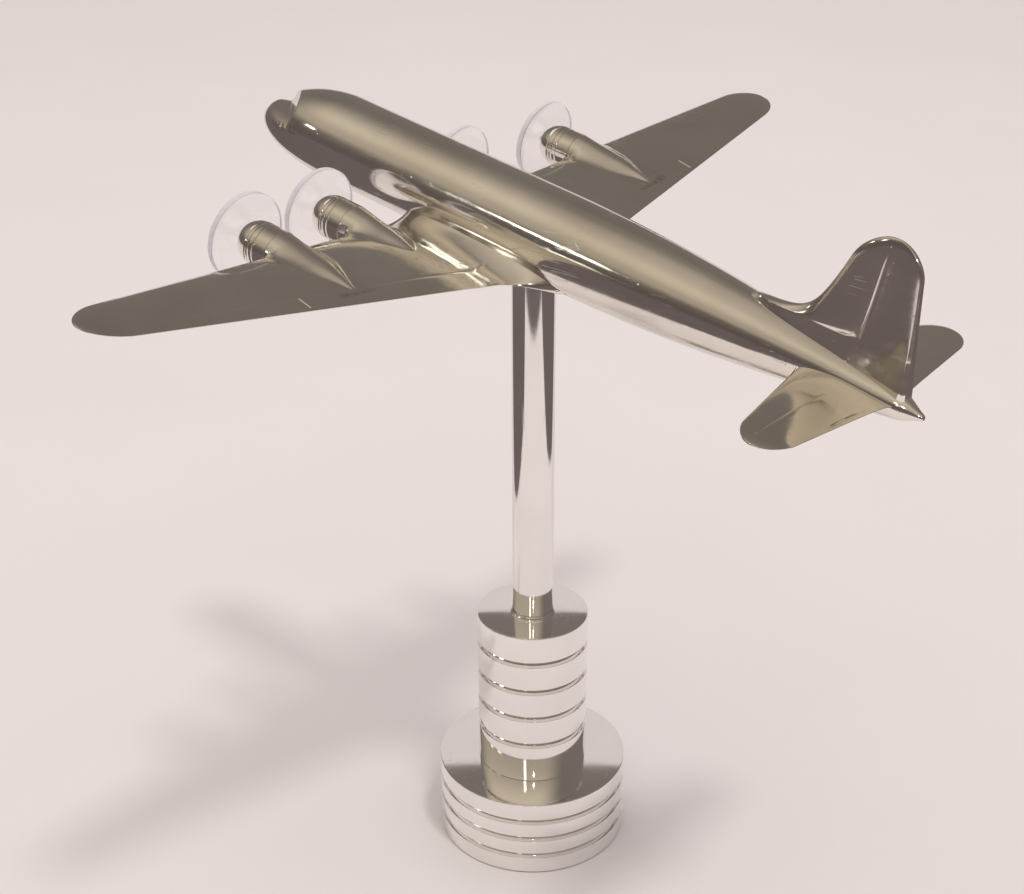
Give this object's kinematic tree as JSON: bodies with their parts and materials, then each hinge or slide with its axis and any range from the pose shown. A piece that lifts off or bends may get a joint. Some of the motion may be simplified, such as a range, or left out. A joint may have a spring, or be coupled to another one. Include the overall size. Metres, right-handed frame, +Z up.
{
  "type": "desktop airliner model",
  "caption": "Polished metal desk model of a propeller airliner, climbing nose-up on a round column with a grooved drum and base; clear discs stand for the turning propellers.",
  "frame": {"origin": "centre of the underside of the base, where it rests on the table", "axes": "+Z up along the column, +X towards the nose, +Y towards the left wing tip"},
  "size_m": [0.3543, 0.414, 0.3441],
  "materials": {
    "cast_aluminium": "hand-polished casting, nearly a mirror, with fine scratches and a few pits",
    "turned_aluminium": "lathe-turned and polished to a mirror",
    "steel": "turned steel",
    "clear_acrylic": "clear sheet with polished edges",
    "felt": "short wool felt"
  },
  "bodies": {
    "stand": {"felt_pad": "felt", "base_disc": "turned_aluminium", "drum": "turned_aluminium", "collar_ring": "turned_aluminium", "column": "turned_aluminium", "tie_rod": "steel", "tie_washer": "steel", "tie_nut": "steel", "spigot": "steel"},
    "aircraft": {"fuselage": "cast_aluminium", "wing_left": "cast_aluminium", "wing_right": "cast_aluminium", "wing_dowel_front": "steel", "wing_dowel_rear": "steel", "fin": "cast_aluminium", "fin_dowel": "steel", "tailplane_left": "cast_aluminium", "tailplane_right": "cast_aluminium", "tailplane_dowel": "steel", "nacelle_left_outer": "cast_aluminium", "nacelle_left_inner": "cast_aluminium", "nacelle_right_inner": "cast_aluminium", "nacelle_right_outer": "cast_aluminium", "cowl_left_outer": "turned_aluminium", "cowl_left_inner": "turned_aluminium", "cowl_right_inner": "turned_aluminium", "cowl_right_outer": "turned_aluminium", "hub_pin_left_outer": "steel", "hub_pin_left_inner": "steel", "hub_pin_right_inner": "steel", "hub_pin_right_outer": "steel"},
    "disc_left_outer": {"prop_disc_left_outer": "clear_acrylic"},
    "disc_left_inner": {"prop_disc_left_inner": "clear_acrylic"},
    "disc_right_inner": {"prop_disc_right_inner": "clear_acrylic"},
    "disc_right_outer": {"prop_disc_right_outer": "clear_acrylic"}
  },
  "joints": [
    {"name": "aircraft_swivel", "type": "hinge", "parent": "stand", "child": "aircraft", "pos_m": [0, 0, 0.292], "axis": [0, 0, 1], "continuous": true},
    {"name": "disc_left_outer_spin", "type": "hinge", "parent": "aircraft", "child": "disc_left_outer", "pos_m": [0.07648, 0.093, 0.31104], "axis": [0.9898, 0, 0.1426], "continuous": true},
    {"name": "disc_left_inner_spin", "type": "hinge", "parent": "aircraft", "child": "disc_left_inner", "pos_m": [0.08614, 0.044, 0.30779], "axis": [0.9898, 0, 0.1426], "continuous": true},
    {"name": "disc_right_inner_spin", "type": "hinge", "parent": "aircraft", "child": "disc_right_inner", "pos_m": [0.08614, -0.044, 0.30779], "axis": [0.9898, 0, 0.1426], "continuous": true},
    {"name": "disc_right_outer_spin", "type": "hinge", "parent": "aircraft", "child": "disc_right_outer", "pos_m": [0.07648, -0.093, 0.31104], "axis": [0.9898, 0, 0.1426], "continuous": true}
  ]
}
